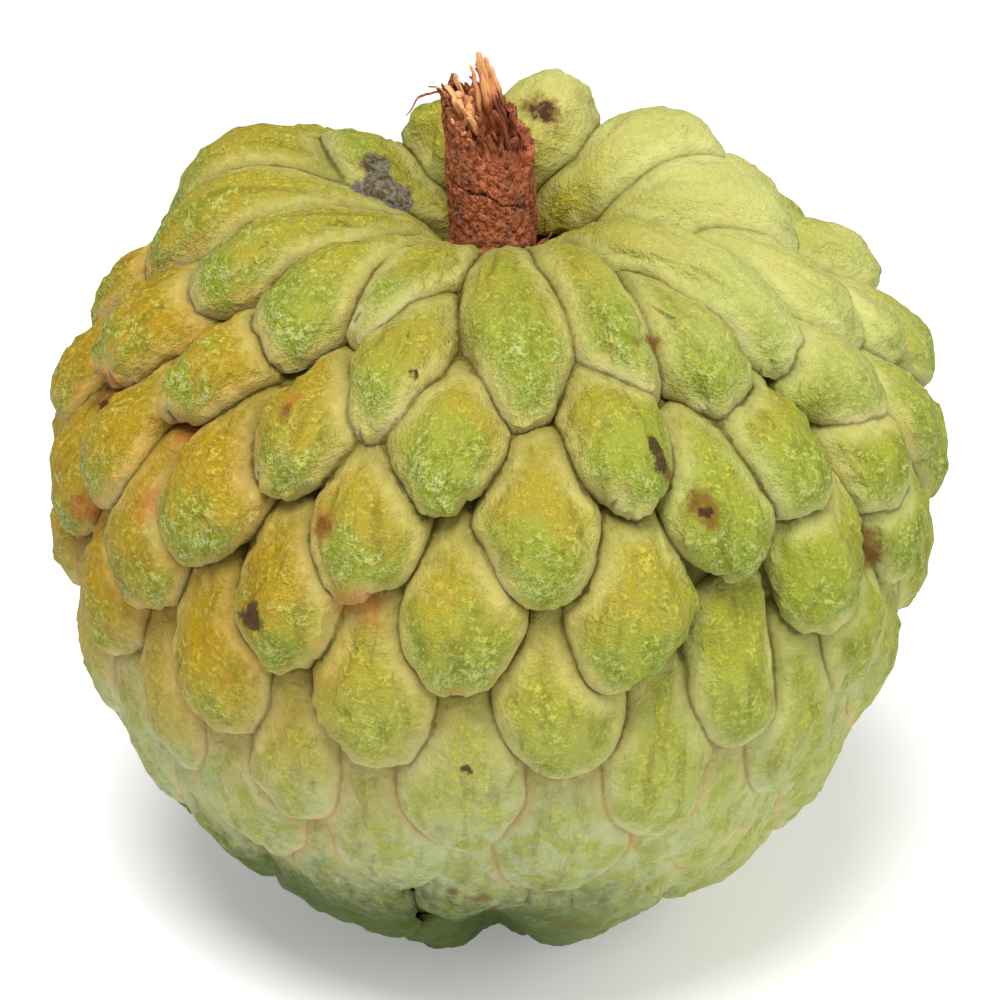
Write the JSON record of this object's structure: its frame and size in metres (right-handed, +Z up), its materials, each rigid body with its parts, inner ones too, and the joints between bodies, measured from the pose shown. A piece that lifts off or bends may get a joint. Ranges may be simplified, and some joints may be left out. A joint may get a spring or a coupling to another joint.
{
  "type": "custard apple",
  "caption": "Whole custard apple (sugar apple): a round knobbly fruit of fused overlapping scales, with a short broken stem stub, resting on its base.",
  "frame": {"origin": "middle of the flat spot that the fruit rests on, under the stem's foot", "axes": "+Z up along the stem, -Y towards the side with the crown's parted scales (the front), +X to the right of it"},
  "size_m": [0.0857, 0.086, 0.0884],
  "materials": {
    "fruit_skin": "matte, slightly waxy fruit skin, yellow-green with paler seams and tips and dark furrows",
    "stem_bark": "rough reddish-brown bark with dark pits and a crack",
    "torn_wood": "raw torn wood fibres, pale orange"
  },
  "bodies": {
    "root": {"fruit": "fruit_skin", "stem": "stem_bark", "torn_wood": "torn_wood"}
  },
  "joints": []
}
